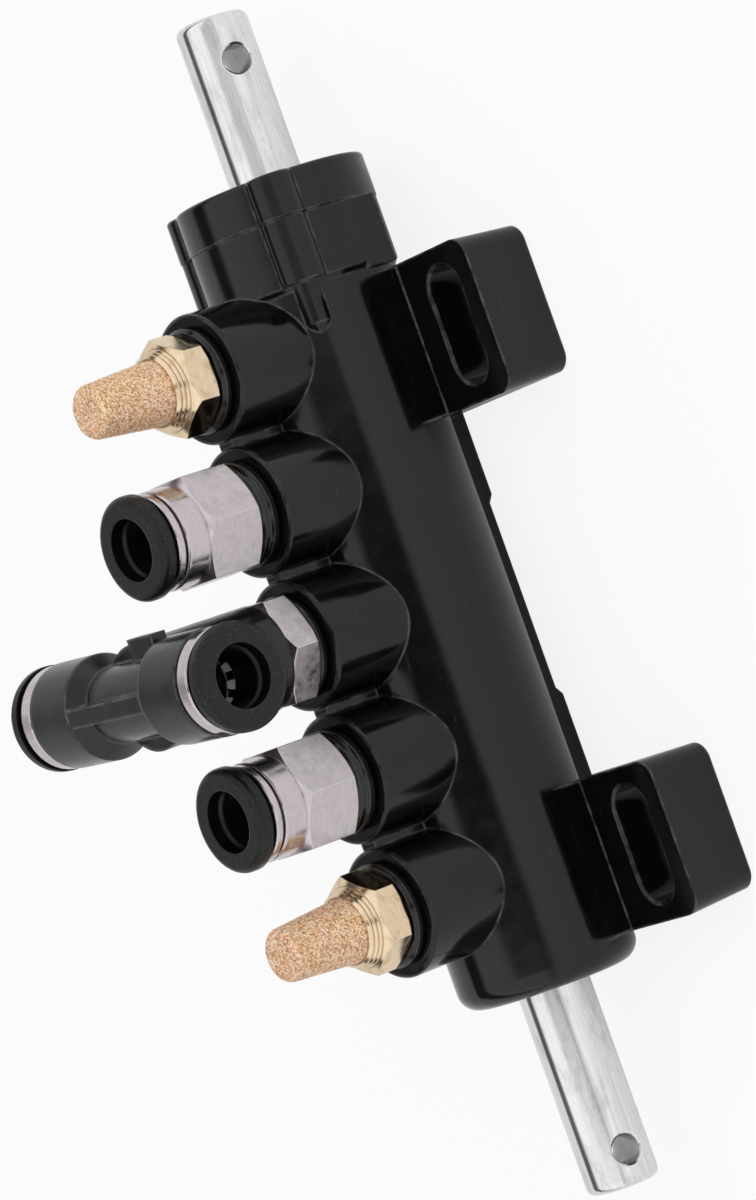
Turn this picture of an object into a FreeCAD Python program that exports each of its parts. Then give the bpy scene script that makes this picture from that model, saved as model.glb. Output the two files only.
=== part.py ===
# Foot pedal valve: a moulded five-port spool valve with push-in fittings and silencers.
# Frame: X along the rod towards the cap, Z up through the ports, the slotted lugs on the -Y side.
# The origin is the middle of the two lug slots, on the mounting plane.

import FreeCAD, Part
import Sketcher
import math
import os
import re

doc = FreeCAD.newDocument("foot_pedal_valve")

# Driving dimensions in millimetres

SIZES = {
    # Places in the valve, from the slots' centre
    "axis_side": 21.9,
    "axis_height": 18.0,
    "middle_port_offset": 3.75,
    # Rod
    "rod_diameter": 10.8,
    "rod_cap_out": 25.25,
    "rod_rear_out": 30.6,
    "rod_tip_round": 1.2,
    "waist_diameter": 7.2,
    "waist_length": 15.0,
    "waist_taper": 1.4,
    "pin_hole_diameter": 4.3,
    "pin_hole_bevel": 0.35,
    "cap_pin_inset": 7.1,
    "rear_pin_inset": 5.3,
    "pin_hole_turn": 15.0,
    # Body
    "port_count": 5,
    "port_pitch": 20.0,
    "barrel_diameter": 27.1,
    "rear_margin": 3.8,
    "rear_round": 3.0,
    "flange_gap": 1.55,
    "flange_step": 0.6,
    "flange_lead": 0.8,
    "flange_length": 9.5,
    "boss_diameter": 19.1,
    "boss_height": 23.5,
    "boss_edge_round": 0.5,
    "boss_web_width": 3.0,
    "boss_web_drop": 0.6,
    "bore_diameter": 15.9,
    "rod_clearance": 0.1,
    "thread_diameter": 9.7,
    "thread_depth": 9.0,
    "thread_clearance": 0.1,
    "passage_diameter": 6.0,
    # Lugs and feet
    "lug_spacing": 78.0,
    "lug_length": 22.9,
    "lug_height": 11.6,
    "lug_reach": 7.0,
    "lug_corner": 2.7,
    "lug_draft": 2.0,
    "slot_width": 7.0,
    "slot_length": 17.4,
    "slot_bevel": 0.3,
    "foot_back": 12.0,
    "keel_front": 2.4,
    "keel_inset": 0.3,
    "keel_relief": 0.9,
    "relief_inset": 13.3,
    "relief_ramp": 1.2,
    # Cap and its screws
    "cap_thickness": 6.5,
    "cap_edge_round": 0.6,
    "cap_overhang": 0.15,
    "spigot_clearance": 0.05,
    "spigot_gap": 0.1,
    "screw_inset": 1.05,
    "screw_turn": 37.0,
    "screw_diameter": 2.5,
    "screw_head_diameter": 4.4,
    "screw_head_height": 1.7,
    "screw_socket": 2.0,
    "screw_socket_depth": 1.0,
    "screw_engagement": 14.0,
    "screw_clearance": 0.05,
    "screw_end_gap": 0.6,
    "column_diameter": 7.2,
    "rib_diameter": 4.2,
    "rib_length": 6.2,
    "rib_tip_length": 1.6,
    "rib_tip_lean": 38.0,
    "flange_flat_start": 1.2,
    "flange_flat_inset": 0.05,
    "flange_flat_extra": 0.9,
    # Spool seals
    "seal_space": 2.6,
    "seal_section": 2.4,
    "spacer_clearance": 0.05,
    "spacer_rod_gap": 0.2,
    "gallery_width": 9.0,
    "gallery_depth": 1.0,
    "gallery_hole": 4.5,
    "gallery_holes": 4,
    "seal_ring_clearance": 0.075,
    # Sealing washers under the hexagons
    "washer_diameter": 15.4,
    "washer_height": 1.6,
    "tall_washer_height": 3.3,
    "washer_groove": 0.35,
    "washer_bevel": 0.5,
    "washer_clearance": 0.15,
    # Push-in ports
    "tube_diameter": 8.0,
    "tube_clearance": 0.1,
    "stud_length": 8.0,
    "flow_diameter": 6.0,
    "chamber_diameter": 12.2,
    "chamber_depth": 6.7,
    "tube_stop_depth": 11.5,
    "guide_diameter": 14.3,
    "guide_height": 1.6,
    "guide_groove": 0.35,
    "guide_bevel": 0.2,
    "guide_sleeve": 3.0,
    "guide_clearance": 0.02,
    "ring_diameter": 15.2,
    "ring_thickness": 1.9,
    "ring_travel": 0.9,
    "ring_gap": 0.1,
    "ring_wall": 1.3,
    "ring_slide_gap": 0.08,
    "ring_front_round": 1.0,
    "ring_mouth_flare": 0.45,
    "ring_mouth_length": 2.0,
    "claw_thickness": 0.35,
    "claw_height": 1.25,
    "claw_rim": 0.45,
    "claw_tip_gap": 0.2,
    "claw_teeth": 12,
    "claw_gap": 1.2,
    "claw_seat_gap": 0.05,
    "tube_seal_section": 1.9,
    "tube_seal_gap": 0.05,
    "tube_seal_place": 5.6,
    # Straight fittings
    "fitting_hex": 15.0,
    "fitting_hex_height": 9.3,
    "fitting_hex_bevel": 1.3,
    "fitting_round_diameter": 14.5,
    "fitting_round_height": 3.8,
    "fitting_rim_round": 0.35,
    # Silencers
    "silencer_hex": 13.0,
    "silencer_hex_height": 4.8,
    "silencer_hex_bevel": 1.4,
    "collar_diameter": 12.0,
    "collar_steps": 3,
    "collar_step_height": 0.6,
    "collar_step_in": 0.25,
    "collar_groove": 0.45,
    "element_base_diameter": 9.6,
    "element_tip_diameter": 7.8,
    "element_length": 13.4,
    "element_seat": 1.4,
    "element_round": 1.1,
    "element_wall": 1.8,
    "element_clearance": 0.02,
    "silencer_turn": -27.0,
    # Tee
    "tee_turn": -4.4,
    "tee_axis_height": 26.9,
    "tee_half_length": 23.3,
    "tee_hex_height": 4.8,
    "tee_hex_bevel": 0.9,
    "barrel_end_diameter": 15.2,
    "tee_guide_diameter": 14.9,
    "tee_guide_height": 2.6,
    "neck_diameter": 10.9,
    "neck_half_length": 9.0,
    "shoulder_taper": 2.4,
    "stem_diameter": 15.4,
    "spigot_diameter": 11.8,
    "spigot_length": 11.0,
    "swivel_gap": 0.05,
    "swivel_play": 0.15,
    "snap_height": 1.0,
    "snap_depth": 0.25,
    "snap_place": 9.0,
    "stem_seal_section": 1.3,
    "stem_seal_place": 5.5,
    "stem_seal_gap": 0.03,
    "stem_groove_length": 1.6,
    "tee_hex_turn": -2.6,
    "web_width": 2.7,
    "web_drop": 0.15,
    "tab_reach": 8.5,
    "tab_thickness": 2.6,
    "tab_start": 1.4,
    "tab_length": 5.7,
}

sheet = doc.addObject("Spreadsheet::Sheet", "dims")
for line, (alias, value) in enumerate(SIZES.items(), start=1):
    sheet.set(f"A{line}", alias)
    sheet.set(f"B{line}", str(value))
    sheet.setAlias(f"B{line}", alias)
workings = doc.addObject("Spreadsheet::Sheet", "workings")
doc.recompute()

# Two places this near each other, in millimetres, count as the same
NEAR = 0.01
ROUGHLY = 0.1


# Shared building steps


def d(text):
    """Turn the size names in an expression into references to the sheet."""
    return re.sub(r"[a-z_]+", lambda m: "dims." + m.group(0) if m.group(0) in SIZES else m.group(0), text)


def size(text):
    """Work out an expression of size names as a number."""
    workings.set("A1", "=" + d(text))
    workings.recompute()
    value = workings.get("A1")
    return float(getattr(value, "Value", value))


def bind(item, **texts):
    """Bind properties to expressions of size names; a double underscore stands for a dot."""
    for name, text in texts.items():
        item.setExpression(name.replace("__", "."), d(text))


def origin_part(body, role):
    """Find one of a body's own planes or axes."""
    for feature in body.Origin.OriginFeatures:
        if feature.Role == role:
            return feature
    raise ValueError(role)


def new_body(label):
    body = doc.addObject("PartDesign::Body", label)
    body.Label = label
    return body


def new_sketch(body, role, name, offset=None, turn=None):
    """Start a sketch on one of the body's planes, moved and turned by named sizes."""
    sketch = body.newObject("Sketcher::SketchObject", name)
    sketch.AttachmentSupport = (origin_part(body, role), [""])
    sketch.MapMode = "FlatFace"
    if turn is not None:
        start = FreeCAD.Rotation(FreeCAD.Vector(0, 0, 1), 1)
        sketch.AttachmentOffset = FreeCAD.Placement(FreeCAD.Vector(), start)
        bind(sketch, AttachmentOffset__Rotation__Angle=turn)
    if offset is not None:
        bind(sketch, AttachmentOffset__Base__z=offset)
    return sketch


def pin_point(sketch, piece, end, across, up):
    """Hold one point of a sketch at two named distances from the sketch's origin."""
    for kind, axis, text in (("DistanceX", -2, across), ("DistanceY", -1, up)):
        value = size(text)
        if abs(value) < 1e-9:
            sketch.addConstraint(Sketcher.Constraint("PointOnObject", piece, end, axis))
            continue
        if value < 0:
            index = sketch.addConstraint(Sketcher.Constraint(kind, piece, end, -1, 1, -value))
            text = f"-({text})"
        else:
            index = sketch.addConstraint(Sketcher.Constraint(kind, -1, 1, piece, end, value))
        sketch.setExpression(f"Constraints[{index}]", d(text))


def polygon(sketch, corners):
    """Draw a closed outline through corners given as pairs of expressions."""
    points = [FreeCAD.Vector(size(across), size(up), 0) for across, up in corners]
    first = sketch.GeometryCount
    count = len(points)
    for index, point in enumerate(points):
        sketch.addGeometry(Part.LineSegment(point, points[(index + 1) % count]), False)
    for index in range(count):
        following = first + (index + 1) % count
        sketch.addConstraint(Sketcher.Constraint("Coincident", first + index, 2, following, 1))
    for index, (across, up) in enumerate(corners):
        pin_point(sketch, first + index, 1, across, up)


def circle(sketch, radius, across="0", up="0"):
    """Draw a circle with a named radius and centre."""
    centre = FreeCAD.Vector(size(across), size(up), 0)
    piece = sketch.addGeometry(Part.Circle(centre, FreeCAD.Vector(0, 0, 1), size(radius)), False)
    index = sketch.addConstraint(Sketcher.Constraint("Radius", piece, size(radius)))
    sketch.setExpression(f"Constraints[{index}]", d(radius))
    pin_point(sketch, piece, 3, across, up)


def slot(sketch, length, width, across, up="0"):
    """Draw a long hole along the sketch's first axis."""
    x, y = size(across), size(up)
    half, r = (size(length) - size(width)) / 2, size(width) / 2
    z = FreeCAD.Vector(0, 0, 1)
    left = Part.ArcOfCircle(Part.Circle(FreeCAD.Vector(x - half, y, 0), z, r), math.pi / 2, 1.5 * math.pi)
    right = Part.ArcOfCircle(Part.Circle(FreeCAD.Vector(x + half, y, 0), z, r), -math.pi / 2, math.pi / 2)
    low = Part.LineSegment(FreeCAD.Vector(x - half, y - r, 0), FreeCAD.Vector(x + half, y - r, 0))
    high = Part.LineSegment(FreeCAD.Vector(x + half, y + r, 0), FreeCAD.Vector(x - half, y + r, 0))
    pieces = [sketch.addGeometry(item, False) for item in (left, low, right, high)]
    for this, following in zip(pieces, pieces[1:] + pieces[:1]):
        sketch.addConstraint(Sketcher.Constraint("Tangent", this, 2, following, 1))
    for piece in (pieces[0], pieces[2]):
        index = sketch.addConstraint(Sketcher.Constraint("Radius", piece, r))
        sketch.setExpression(f"Constraints[{index}]", d(f"{width} / 2"))
    pin_point(sketch, pieces[0], 3, f"{across} - ({length} - {width}) / 2", up)
    pin_point(sketch, pieces[2], 3, f"{across} + ({length} - {width}) / 2", up)


def hexagon(sketch, across_flats):
    """Draw a hexagon with corners on the sketch's second axis."""
    radius = size(f"{across_flats} / sqrt(3)")
    corners = [FreeCAD.Vector(radius * math.sin(math.pi * k / 3), radius * math.cos(math.pi * k / 3), 0)
               for k in range(6)]
    half = f"{across_flats} / 2"
    corner = f"{across_flats} / sqrt(3)"
    flat = f"{across_flats} / sqrt(12)"
    places = [("0", corner), (half, flat), (half, f"-{flat}"), ("0", f"-{corner}"),
              (f"-{half}", f"-{flat}"), (f"-{half}", flat)]
    first = sketch.GeometryCount
    for index in range(6):
        sketch.addGeometry(Part.LineSegment(corners[index], corners[(index + 1) % 6]), False)
    for index in range(6):
        sketch.addConstraint(Sketcher.Constraint("Coincident", first + index, 2, first + (index + 1) % 6, 1))
    for index, (across, up) in enumerate(places):
        pin_point(sketch, first + index, 1, across, up)


def pad(body, sketch, length, name, reverse=False):
    """Add material from a sketch, and check that it did."""
    before = body.Shape.Volume if body.Tip and not body.Shape.isNull() else 0
    feature = body.newObject("PartDesign::Pad", name)
    feature.Profile = sketch
    bind(feature, Length=length)
    feature.Reversed = reverse
    doc.recompute()
    if feature.Shape.Volume <= before:
        raise ValueError(f"{name} adds nothing")
    return feature


def pocket(body, sketch, length, name, reverse=False):
    """Cut a sketch into the body, and check that it cut."""
    before = body.Shape.Volume
    feature = body.newObject("PartDesign::Pocket", name)
    feature.Profile = sketch
    bind(feature, Length=length)
    feature.Reversed = reverse
    doc.recompute()
    if feature.Shape.Volume >= before:
        raise ValueError(f"{name} cuts nothing")
    return feature


def row(body, feature, spacing, count, name):
    """Repeat a feature along X, and make the repeat count."""
    pattern = body.newObject("PartDesign::LinearPattern", name)
    pattern.Originals = [feature]
    pattern.Direction = (origin_part(body, "X_Axis"), [""])
    pattern.Occurrences = count
    bind(pattern, Length=f"{spacing} * {count - 1}")
    body.Tip = pattern
    doc.recompute()
    return pattern


def around(body, feature, axis, count, name):
    """Repeat a feature round one of the body's axes, and make the repeat count."""
    pattern = body.newObject("PartDesign::PolarPattern", name)
    pattern.Originals = [feature]
    pattern.Axis = (origin_part(body, axis), [""])
    pattern.Angle = 360
    pattern.Occurrences = count
    body.Tip = pattern
    doc.recompute()
    return pattern


def dress(body, kind, amount, test, name):
    """Round or bevel the edges that pass a test."""
    shape = body.Tip.Shape
    chosen = [f"Edge{index}" for index, edge in enumerate(shape.Edges, start=1) if test(edge)]
    if not chosen:
        raise ValueError(f"{name} finds no edge")
    base = body.Tip
    feature = body.newObject(f"PartDesign::{kind}", name)
    feature.Base = (base, chosen)
    bind(feature, **{"Radius" if kind == "Fillet" else "Size": amount})
    doc.recompute()
    return feature


def is_circle(edge, radius, across=None):
    """Tell a circular edge by its radius, and by a place along one axis where it matters."""
    curve = edge.Curve
    if not isinstance(curve, Part.Circle) or abs(curve.Radius - radius) > NEAR:
        return False
    if across is None:
        return True
    axis, place = across
    return abs(getattr(curve.Center, axis) - place) < NEAR


def place(item, x="0", z="0", turn=None, axis=FreeCAD.Vector(0, 0, 1)):
    """Put a piece in the valve; x and z start at the middle port, on the rod's axis."""
    if turn is not None:
        item.Placement = FreeCAD.Placement(FreeCAD.Vector(), FreeCAD.Rotation(axis, 1))
        bind(item, Placement__Rotation__Angle=turn)
    bind(item, Placement__Base__x=f"middle_port_offset + {x}",
         Placement__Base__y="axis_side",
         Placement__Base__z=f"axis_height + {z}")


def port_x(index):
    """The place along X of a port, counted from the cap, as an expression."""
    return f"({(SIZES['port_count'] - 1) // 2 - index}) * port_pitch"


def turned(label, outline, along="+Z"):
    """Turn a piece from an outline of (distance along, radius) pairs."""
    body = new_body(label)
    revolve(body, outline, along, label + "_turned")
    return body


def revolve(body, outline, along, name, kind="Revolution"):
    """Turn an outline of (distance along, radius) pairs round one of the body's axes."""
    if along == "+Z":
        role, axis = "XZ_Plane", "V_Axis"
        corners = [(radius, distance) for distance, radius in outline]
    elif along == "+X":
        role, axis = "XZ_Plane", "H_Axis"
        corners = outline
    else:
        role, axis = "YZ_Plane", "H_Axis"
        sign = "-" if along == "-Y" else ""
        corners = [(f"{sign}({distance})", radius) for distance, radius in outline]
    sketch = new_sketch(body, role, name + "_outline")
    polygon(sketch, corners)
    feature = body.newObject(f"PartDesign::{kind}", name)
    feature.Profile = sketch
    feature.ReferenceAxis = (sketch, [axis])
    feature.Angle = 360
    doc.recompute()
    return feature


def o_ring(label, distance, radius, section, along="+Z"):
    """A rubber ring round one of the body's axes, by its place, its middle radius and its section."""
    body = new_body(label)
    if along == "+Z":
        role, axis, across, up = "XZ_Plane", "V_Axis", radius, distance
    elif along == "+X":
        role, axis, across, up = "XZ_Plane", "H_Axis", distance, radius
    else:
        sign = "-" if along == "-Y" else ""
        role, axis, across, up = "YZ_Plane", "H_Axis", f"{sign}({distance})", radius
    sketch = new_sketch(body, role, label + "_section")
    circle(sketch, f"{section} / 2", across, up)
    feature = body.newObject("PartDesign::Revolution", label + "_turned")
    feature.Profile = sketch
    feature.ReferenceAxis = (sketch, [axis])
    feature.Angle = 360
    doc.recompute()
    return body


# Expressions that several pieces share

ROD = "(rod_diameter / 2)"
ROD_HOLE = f"({ROD} + rod_clearance)"
BORE = "bore_diameter / 2"
LUGS_END = "((lug_spacing + lug_length) / 2)"
REAR = f"({LUGS_END} + middle_port_offset + rear_margin)"
FLANGE_REAR = f"({LUGS_END} - middle_port_offset + flange_gap)"
FRONT = f"({FLANGE_REAR} + flange_length)"
CAP_FACE = f"({FRONT} + cap_thickness)"
FLANGE = "(barrel_diameter / 2 + flange_step)"
SEAL_END = "((port_count * port_pitch + seal_space) / 2)"
SCREW_CIRCLE = "(barrel_diameter / 2 - screw_inset)"
ROD_CAP_END = f"({CAP_FACE} + rod_cap_out)"
ROD_REAR_END = f"(-{REAR} - rod_rear_out)"
LUG_TOP = "(axis_height - lug_height)"
SCREWS = [
    (f"-{SCREW_CIRCLE} * cos(screw_turn)", f"{SCREW_CIRCLE} * sin(screw_turn)"),
    (f"{SCREW_CIRCLE} * cos(screw_turn)", f"{SCREW_CIRCLE} * sin(screw_turn)"),
    ("0", f"-{SCREW_CIRCLE}"),
]
HEX_FOOT = "boss_height + washer_height"
STUD = "(thread_diameter / 2 - thread_clearance)"
FLOW = "flow_diameter / 2"
TUBE = "(tube_diameter / 2 + tube_clearance)"
CHAMBER = "chamber_diameter / 2"


# Body: barrel with flange, feet, slotted lugs, keel, bosses, screw columns, and its holes

body = new_body("valve_body")
revolve(body, [
    (f"-{REAR}", "0"),
    (f"-{REAR}", "barrel_diameter / 2"),
    (f"{FLANGE_REAR} - flange_lead", "barrel_diameter / 2"),
    (FLANGE_REAR, FLANGE),
    (FRONT, FLANGE),
    (FRONT, "0"),
], "+X", "barrel")
dress(body, "Fillet", "rear_round",
      lambda edge: is_circle(edge, size("barrel_diameter / 2"), ("x", -size(REAR))), "barrel_rear_edge")

sketch = new_sketch(body, "YZ_Plane", "flange_flat_outline", f"{FLANGE_REAR} - flange_flat_extra")
FLAT_SIDE = f"-({FLANGE} - flange_flat_inset)"
polygon(sketch, [("0", "-flange_flat_start"), ("0", f"-{LUG_TOP}"), (FLAT_SIDE, f"-{LUG_TOP}"),
                 (FLAT_SIDE, "-flange_flat_start")])
pad(body, sketch, "flange_length + flange_flat_extra", "flange_flat")


def across_lug(sketch, side, back):
    """Draw the rear lug's outline, seen from above, from one side to the other."""
    middle = "-middle_port_offset - lug_spacing / 2"
    polygon(sketch, [(f"{middle} - lug_length / 2", back), (f"{middle} - lug_length / 2", side),
                     (f"{middle} + lug_length / 2", side), (f"{middle} + lug_length / 2", back)])


sketch = new_sketch(body, "XY_Plane", "foot_outline")
across_lug(sketch, "-barrel_diameter / 2", "foot_back")
foot = pad(body, sketch, "axis_height", "foot", reverse=True)
bind(foot, TaperAngle="-lug_draft")
row(body, foot, "lug_spacing", 2, "feet")

sketch = new_sketch(body, "XY_Plane", "lug_outline", f"-{LUG_TOP}")
across_lug(sketch, "-(axis_side + lug_reach)", "0")
lug = pad(body, sketch, "lug_height", "lug", reverse=True)
bind(lug, TaperAngle="-lug_draft")
row(body, lug, "lug_spacing", 2, "lugs")
dress(body, "Fillet", "lug_corner",
      lambda edge: edge.BoundBox.YMax < -size("axis_side + lug_reach / 2")
      and edge.BoundBox.ZLength > size("lug_height / 2"), "lug_corners")

sketch = new_sketch(body, "XY_Plane", "slot_outline", f"-{LUG_TOP}")
slot(sketch, "slot_length", "slot_width", "-middle_port_offset - lug_spacing / 2", "-axis_side")
hole = pocket(body, sketch, "lug_height", "slot")
row(body, hole, "lug_spacing", 2, "slots")
dress(body, "Chamfer", "slot_bevel",
      lambda edge: edge.BoundBox.ZLength < NEAR and abs(edge.BoundBox.ZMax + size(LUG_TOP)) < NEAR
      and edge.BoundBox.XLength > size("slot_bevel")
      and abs(edge.BoundBox.Center.y + size("axis_side")) < size("slot_width / 2 + slot_bevel"), "slot_rims")

sketch = new_sketch(body, "XZ_Plane", "keel_outline", "-foot_back")
LUGS_MIDDLE = "-middle_port_offset"
KEEL_END = f"({LUGS_END} - keel_inset)"
RELIEF_END = "((lug_spacing - lug_length) / 2 - relief_inset)"
polygon(sketch, [
    (f"{LUGS_MIDDLE} - {KEEL_END}", "0"),
    (f"{LUGS_MIDDLE} - {KEEL_END}", "-axis_height"),
    (f"{LUGS_MIDDLE} - {RELIEF_END} - relief_ramp", "-axis_height"),
    (f"{LUGS_MIDDLE} - {RELIEF_END}", "-axis_height + keel_relief"),
    (f"{LUGS_MIDDLE} + {RELIEF_END}", "-axis_height + keel_relief"),
    (f"{LUGS_MIDDLE} + {RELIEF_END} + relief_ramp", "-axis_height"),
    (f"{LUGS_MIDDLE} + {KEEL_END}", "-axis_height"),
    (f"{LUGS_MIDDLE} + {KEEL_END}", "0"),
])
pad(body, sketch, "foot_back + keel_front", "keel")

REAR_PORT = "-(port_count - 1) / 2 * port_pitch"
sketch = new_sketch(body, "XY_Plane", "boss_outline")
circle(sketch, "boss_diameter / 2", REAR_PORT)
boss = pad(body, sketch, "boss_height", "boss")
row(body, boss, "port_pitch", SIZES["port_count"], "bosses")
dress(body, "Fillet", "boss_edge_round",
      lambda edge: is_circle(edge, size("boss_diameter / 2"), ("z", size("boss_height"))), "boss_rims")

sketch = new_sketch(body, "XY_Plane", "boss_web_outline")
polygon(sketch, [(REAR_PORT, "-boss_web_width / 2"), (f"-({REAR_PORT})", "-boss_web_width / 2"),
                 (f"-({REAR_PORT})", "boss_web_width / 2"), (REAR_PORT, "boss_web_width / 2")])
pad(body, sketch, "boss_height - boss_web_drop", "boss_web")

sketch = new_sketch(body, "YZ_Plane", "column_outline", FLANGE_REAR)
for across, up in SCREWS:
    circle(sketch, "column_diameter / 2", across, up)
pad(body, sketch, "flange_length", "columns")
for name, length, lean in (("ribs", "rib_length", None), ("rib_tips", "rib_tip_length", "-rib_tip_lean")):
    start = FLANGE_REAR if lean is None else f"{FLANGE_REAR} - rib_length"
    sketch = new_sketch(body, "YZ_Plane", f"{name}_outline", start)
    for across, up in SCREWS:
        circle(sketch, "rib_diameter / 2", across, up)
    feature = pad(body, sketch, length, name, reverse=True)
    if lean:
        bind(feature, TaperAngle=lean)
        doc.recompute()

revolve(body, [
    (f"-{REAR}", "0"),
    (f"-{REAR}", ROD_HOLE),
    (f"-({SEAL_END} + spigot_gap)", ROD_HOLE),
    (f"-({SEAL_END} + spigot_gap)", BORE),
    (FRONT, BORE),
    (FRONT, "0"),
], "+X", "bore", "Groove")
sketch = new_sketch(body, "XY_Plane", "thread_hole_outline", "boss_height")
circle(sketch, "thread_diameter / 2", REAR_PORT)
thread = pocket(body, sketch, "thread_depth", "thread_hole")
row(body, thread, "port_pitch", SIZES["port_count"], "thread_holes")
sketch = new_sketch(body, "XY_Plane", "passage_outline", "boss_height")
circle(sketch, "passage_diameter / 2", REAR_PORT)
passage = pocket(body, sketch, "boss_height", "passage")
row(body, passage, "port_pitch", SIZES["port_count"], "passages")
sketch = new_sketch(body, "YZ_Plane", "screw_hole_outline", FRONT)
for across, up in SCREWS:
    circle(sketch, "screw_diameter / 2 + screw_clearance", across, up)
pocket(body, sketch, "screw_engagement + screw_end_gap", "screw_holes")
place(body)


# End cap with its spigot, and the screws that hold it

cap = new_body("end_cap")
revolve(cap, [
    (f"{SEAL_END} + spigot_gap", ROD_HOLE),
    (f"{SEAL_END} + spigot_gap", f"{BORE} - spigot_clearance"),
    (FRONT, f"{BORE} - spigot_clearance"),
    (FRONT, f"{FLANGE} + cap_overhang"),
    (CAP_FACE, f"{FLANGE} + cap_overhang"),
    (CAP_FACE, ROD_HOLE),
], "+X", "cap")
sketch = new_sketch(cap, "YZ_Plane", "cap_column_outline", FRONT)
for across, up in SCREWS:
    circle(sketch, "column_diameter / 2 + cap_overhang", across, up)
pad(cap, sketch, "cap_thickness", "cap_columns")
dress(cap, "Fillet", "cap_edge_round",
      lambda edge: (is_circle(edge, size(f"{FLANGE} + cap_overhang"), ("x", size(CAP_FACE)))
                    or is_circle(edge, size("column_diameter / 2 + cap_overhang"), ("x", size(CAP_FACE)))),
      "cap_rim")
sketch = new_sketch(cap, "YZ_Plane", "cap_hole_outline", CAP_FACE)
for across, up in SCREWS:
    circle(sketch, "screw_diameter / 2 + screw_clearance", across, up)
pocket(cap, sketch, "cap_thickness", "cap_holes")
sketch = new_sketch(cap, "YZ_Plane", "cap_sink_outline", CAP_FACE)
for across, up in SCREWS:
    circle(sketch, "screw_head_diameter / 2 + screw_clearance", across, up)
pocket(cap, sketch, "screw_head_height", "cap_sinks")
place(cap)

screws = new_body("cap_screws")
sketch = new_sketch(screws, "YZ_Plane", "head_outline", f"{CAP_FACE} - screw_head_height")
for across, up in SCREWS:
    circle(sketch, "screw_head_diameter / 2", across, up)
pad(screws, sketch, "screw_head_height", "heads")
sketch = new_sketch(screws, "YZ_Plane", "shank_outline", f"{FRONT} - screw_engagement")
for across, up in SCREWS:
    circle(sketch, "screw_diameter / 2", across, up)
pad(screws, sketch, "screw_engagement + cap_thickness - screw_head_height", "shanks")
sketch = new_sketch(screws, "YZ_Plane", "socket_outline", CAP_FACE)
for across, up in SCREWS:
    circle(sketch, "screw_socket / 2", across, up)
pocket(screws, sketch, "screw_socket_depth", "sockets")
place(screws)


# Rod: plain ends with cross holes, and two waists that join neighbouring ports

rod = new_body("spool_rod")
outline = [(ROD_REAR_END, "0"), (ROD_REAR_END, ROD)]
for middle in ("-port_pitch", "port_pitch"):
    outline += [
        (f"{middle} - waist_length / 2", ROD),
        (f"{middle} - waist_length / 2 + waist_taper", "waist_diameter / 2"),
        (f"{middle} + waist_length / 2 - waist_taper", "waist_diameter / 2"),
        (f"{middle} + waist_length / 2", ROD),
    ]
outline += [(ROD_CAP_END, ROD), (ROD_CAP_END, "0")]
revolve(rod, outline, "+X", "rod")
dress(rod, "Fillet", "rod_tip_round",
      lambda edge: (is_circle(edge, size(ROD), ("x", size(ROD_CAP_END)))
                    or is_circle(edge, size(ROD), ("x", size(ROD_REAR_END)))), "rod_tips")
sketch = new_sketch(rod, "XZ_Plane", "pin_hole_outline")
for middle in (f"{ROD_CAP_END} - cap_pin_inset", f"{ROD_REAR_END} + rear_pin_inset"):
    circle(sketch, "pin_hole_diameter / 2", middle)
pins = rod.newObject("PartDesign::Pocket", "pin_holes")
pins.Profile = sketch
pins.Midplane = True
bind(pins, Length="rod_diameter + pin_hole_diameter")
doc.recompute()
dress(rod, "Chamfer", "pin_hole_bevel",
      lambda edge: edge.BoundBox.YLength > ROUGHLY
      and abs(edge.BoundBox.XLength - size("pin_hole_diameter")) < ROUGHLY, "pin_hole_rims")
place(rod, turn="-pin_hole_turn", axis=FreeCAD.Vector(1, 0, 0))


# Seals on the rod, and the lantern rings that part them

for index in range(SIZES["port_count"]):
    spacer = turned(f"seal_spacer_{index + 1}", [
        ("-(port_pitch - seal_space) / 2", f"{ROD} + spacer_rod_gap"),
        ("-(port_pitch - seal_space) / 2", f"{BORE} - spacer_clearance"),
        ("-gallery_width / 2", f"{BORE} - spacer_clearance"),
        ("-gallery_width / 2", f"{BORE} - gallery_depth"),
        ("gallery_width / 2", f"{BORE} - gallery_depth"),
        ("gallery_width / 2", f"{BORE} - spacer_clearance"),
        ("(port_pitch - seal_space) / 2", f"{BORE} - spacer_clearance"),
        ("(port_pitch - seal_space) / 2", f"{ROD} + spacer_rod_gap"),
    ], "+X")
    sketch = new_sketch(spacer, "XY_Plane", f"gallery_hole_outline_{index + 1}")
    circle(sketch, "gallery_hole / 2")
    hole = pocket(spacer, sketch, BORE, f"gallery_hole_{index + 1}", reverse=True)
    around(spacer, hole, "X_Axis", SIZES["gallery_holes"], f"gallery_holes_{index + 1}")
    place(spacer, port_x(index))
for index in range(SIZES["port_count"] + 1):
    seal = o_ring(f"spool_seal_{index + 1}", "0", f"{ROD} + seal_ring_clearance + seal_section / 2",
                  "seal_section", "+X")
    place(seal, f"({SIZES['port_count'] / 2 - index}) * port_pitch")


# Sealing washers

def washer(label, height, grooves):
    """A bevelled washer, with grooves round its side at the given heights."""
    side = "washer_diameter / 2"
    outline = [("0", f"{STUD} + washer_clearance"), ("0", f"{side} - washer_bevel"), ("washer_bevel", side)]
    for middle in grooves:
        outline += [(f"{middle} - washer_groove", side), (middle, f"{side} - washer_groove"),
                    (f"{middle} + washer_groove", side)]
    outline += [(f"{height} - washer_bevel", side), (height, f"{side} - washer_bevel"),
                (height, f"{STUD} + washer_clearance")]
    return turned(label, outline)


for index in range(SIZES["port_count"]):
    label = f"port_washer_{index + 1}"
    if index % 2 == 1:
        piece = washer(label, "tall_washer_height", ["tall_washer_height / 2"])
    else:
        piece = washer(label, "washer_height", [])
    place(piece, port_x(index), "boss_height")


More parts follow.
